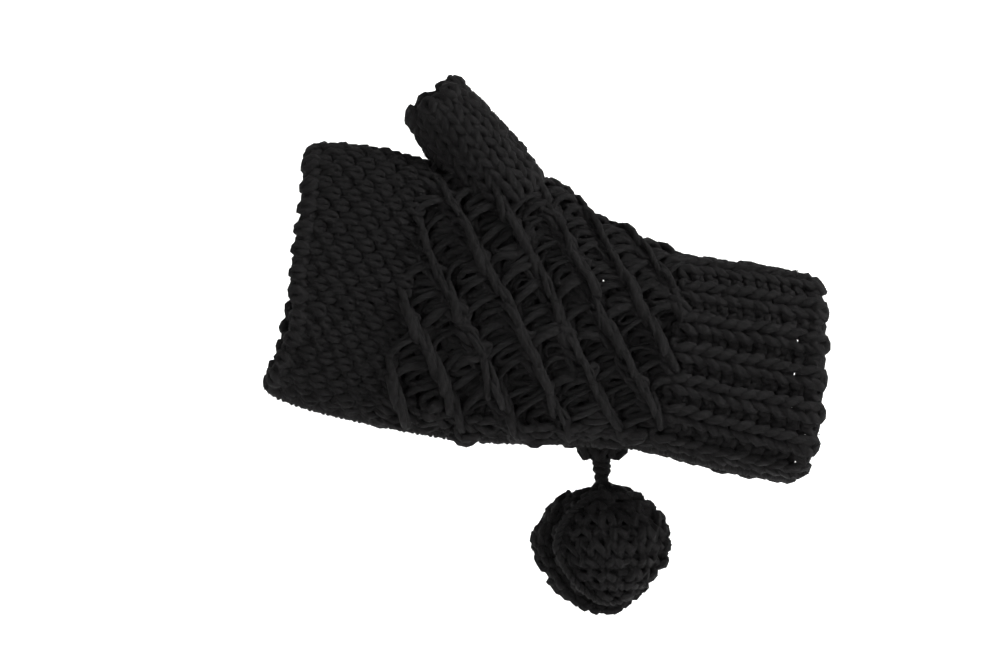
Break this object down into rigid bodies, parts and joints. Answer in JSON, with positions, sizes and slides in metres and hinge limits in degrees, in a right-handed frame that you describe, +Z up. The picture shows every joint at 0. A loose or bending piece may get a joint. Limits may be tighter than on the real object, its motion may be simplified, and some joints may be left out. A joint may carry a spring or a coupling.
{
  "type": "convertible flip-top mitten",
  "caption": "Right-hand knitted fingerless mitten with a ribbed cuff, open fingers, thumb sleeve and a fold-back cap that ends in a hanging crocheted bobble.",
  "frame": {"origin": "on the axis of the wrist opening, level with its rim, where the wearer's wrist enters", "axes": "+X towards the wearer's arm (fingers point to -X), +Y away from the palm, +Z up towards the thumb; the hand axis falls 10.6 degrees towards the arm"},
  "size_m": [0.1975, 0.0634, 0.1879],
  "materials": {
    "rib_knit": "chunky matt wool, raised rib columns",
    "openwork_knit": "chunky matt wool, diagonal openwork stitches",
    "band_knit": "chunky matt wool, broken rib",
    "thumb_knit": "chunky matt wool, plain knit columns",
    "cap_knit": "chunky matt wool, plain knit",
    "edge_yarn": "chunky matt wool, rolled cast-on and cast-off edges",
    "seam_yarn": "plied wool, overcast stitches",
    "crochet_yarn": "chunky matt wool, crochet stitches",
    "stuffing": "loose matt wool scraps"
  },
  "bodies": {
    "hand_tube": {"finger_cast_off": "edge_yarn", "finger_band": "band_knit", "hand_body": "openwork_knit", "wrist_cuff": "rib_knit", "cuff_cast_on": "edge_yarn", "side_seam": "seam_yarn", "thumb_gusset": "openwork_knit", "cap_hinge_seam": "seam_yarn"},
    "thumb": {"thumb_sleeve": "thumb_knit", "thumb_cast_off": "edge_yarn"},
    "cap_back": {"cap_back_layer": "cap_knit", "cap_gathered_end": "cap_knit"},
    "cap_palm": {"cap_palm_layer": "cap_knit", "cap_mouth_rib": "rib_knit"},
    "knot": {"cord_knot": "crochet_yarn"},
    "cord": {"bobble_cord": "crochet_yarn"},
    "bobble": {"bobble_rim_disc": "crochet_yarn", "bobble_back_cup": "crochet_yarn", "bobble_front_cup": "crochet_yarn", "bobble_stuffing": "stuffing"}
  },
  "joints": [
    {"name": "cap_fold", "type": "hinge", "parent": "hand_tube", "child": "cap_back", "pos_m": [-0.16845, 0.0186, 0.02949], "axis": [0.2857, 0, 0.9583], "range_deg": [0, 180]},
    {"name": "pocket_open", "type": "hinge", "parent": "cap_back", "child": "cap_palm", "pos_m": [-0.07722, 0.0266, 0.00229], "axis": [-0.2857, 0, -0.9583], "range_deg": [0, 25]},
    {"name": "thumb_bend", "type": "hinge", "parent": "hand_tube", "child": "thumb", "pos_m": [-0.131, -0.002, 0.08216], "axis": [0, 1, 0], "range_deg": [-3, 12], "stiffness_Nm_per_rad": 0.02},
    {"name": "bobble_swing", "type": "hinge", "parent": "cap_back", "child": "knot", "pos_m": [-0.0722, 0.0236, -0.033], "axis": [0, 1, 0], "range_deg": [-30, 34]},
    {"name": "bobble_sway", "type": "hinge", "parent": "knot", "child": "cord", "pos_m": [-0.0722, 0.0236, -0.033], "axis": [1, 0, 0], "range_deg": [-25, 40]},
    {"name": "bobble_twist", "type": "hinge", "parent": "cord", "child": "bobble", "pos_m": [-0.0722, 0.0236, -0.033], "axis": [0, 0, 1], "range_deg": [-90, 90]}
  ],
  "couplings": [
    {"joint": "pocket_open", "follows": "cap_fold", "ratio": 0.136}
  ]
}
